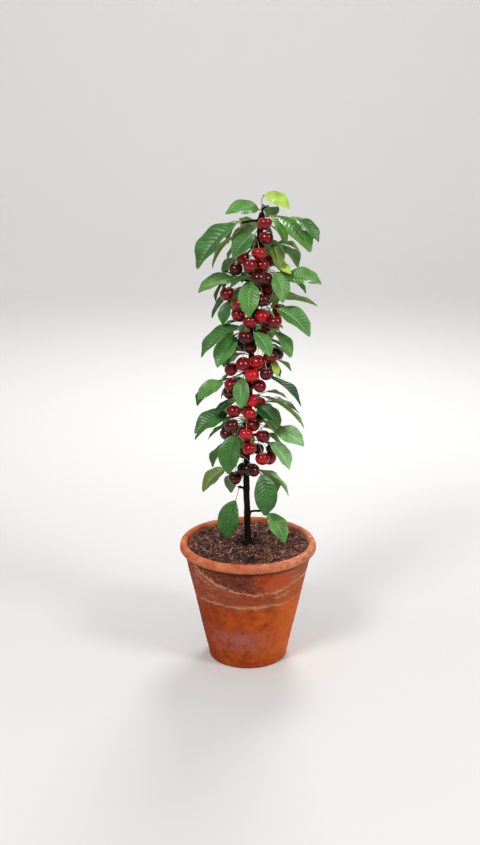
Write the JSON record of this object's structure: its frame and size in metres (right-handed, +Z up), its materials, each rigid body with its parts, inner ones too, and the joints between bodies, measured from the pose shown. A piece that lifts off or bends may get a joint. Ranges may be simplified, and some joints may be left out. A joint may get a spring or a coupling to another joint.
{
  "type": "potted cherry tree",
  "caption": "Slender columnar cherry tree in ripe fruit, its short spurs bearing leaves and hanging cherries, in a tapered terracotta pot filled with bark compost.",
  "frame": {"origin": "centre of the pot's flat underside, on the surface that it stands on", "axes": "+Z up along the trunk, -Y towards the plant's front, +X to the right seen from the front"},
  "size_m": [0.26, 0.26, 0.8883],
  "materials": {
    "terracotta": "weathered unglazed terracotta with pale lime bloom",
    "compost": "moist fibrous bark compost",
    "bark": "dark brown young cherry bark",
    "foliage": "glossy green leaves and glossy red fruit"
  },
  "bodies": {
    "root": {"bough_01": "bark", "bough_02": "bark", "bough_03": "bark", "compost": "compost", "foliage_01": "foliage", "foliage_02": "foliage", "foliage_03": "foliage", "foliage_04": "foliage", "foliage_05": "foliage", "foliage_06": "foliage", "foliage_07": "foliage", "foliage_08": "foliage", "foliage_09": "foliage", "foliage_10": "foliage", "foliage_11": "foliage", "foliage_12": "foliage", "foliage_13": "foliage", "foliage_14": "foliage", "foliage_15": "foliage", "foliage_16": "foliage", "foliage_17": "foliage", "foliage_18": "foliage", "foliage_19": "foliage", "foliage_20": "foliage", "foliage_21": "foliage", "foliage_22": "foliage", "foliage_23": "foliage", "foliage_24": "foliage", "foliage_25": "foliage", "foliage_26": "foliage", "foliage_27": "foliage", "foliage_28": "foliage", "foliage_29": "foliage", "foliage_30": "foliage", "foliage_31": "foliage", "foliage_32": "foliage", "foliage_33": "foliage", "foliage_34": "foliage", "foliage_35": "foliage", "foliage_36": "foliage", "foliage_37": "foliage", "foliage_leader": "foliage", "pot": "terracotta", "trunk": "bark"}
  },
  "joints": []
}
